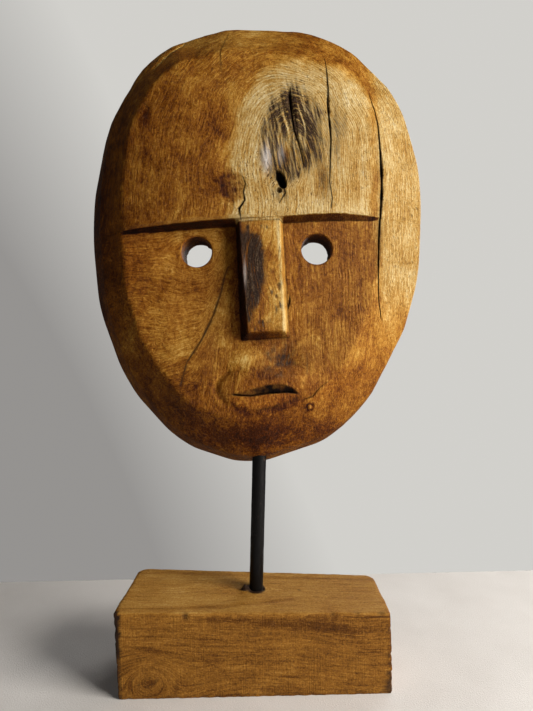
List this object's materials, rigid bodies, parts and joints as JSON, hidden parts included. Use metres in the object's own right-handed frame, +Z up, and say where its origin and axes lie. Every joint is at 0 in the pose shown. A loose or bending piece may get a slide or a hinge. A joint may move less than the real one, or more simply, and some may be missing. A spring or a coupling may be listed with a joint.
{
  "type": "carved wooden mask on stand",
  "caption": "Oval carved wooden mask with drilled eyes, a bar nose and a hollow back, lifted onto a leaning round rod that turns in a sawn wooden block.",
  "frame": {"origin": "centre of the block's underside, on the surface that the stand rests on", "axes": "+Z up, the face looks along -Y, +X towards the viewer's right"},
  "size_m": [0.2695, 0.0805, 0.5165],
  "materials": {
    "mask_wood": "waxed, satin",
    "rod_paint": "black, satin",
    "block_wood": "sawn, matt"
  },
  "bodies": {
    "base": {"base_block": "block_wood"},
    "rod": {"rod": "rod_paint"},
    "mask": {"mask": "mask_wood"}
  },
  "joints": [
    {"name": "rod_turn", "type": "hinge", "parent": "base", "child": "rod", "pos_m": [0.002, 0.004, 0.0632], "axis": [0.0466, 0, 0.9989], "continuous": true},
    {"name": "mask_lift", "type": "slide", "parent": "rod", "child": "mask", "axis": [0.0466, 0, 0.9989], "range_m": [0, 0.08]}
  ]
}
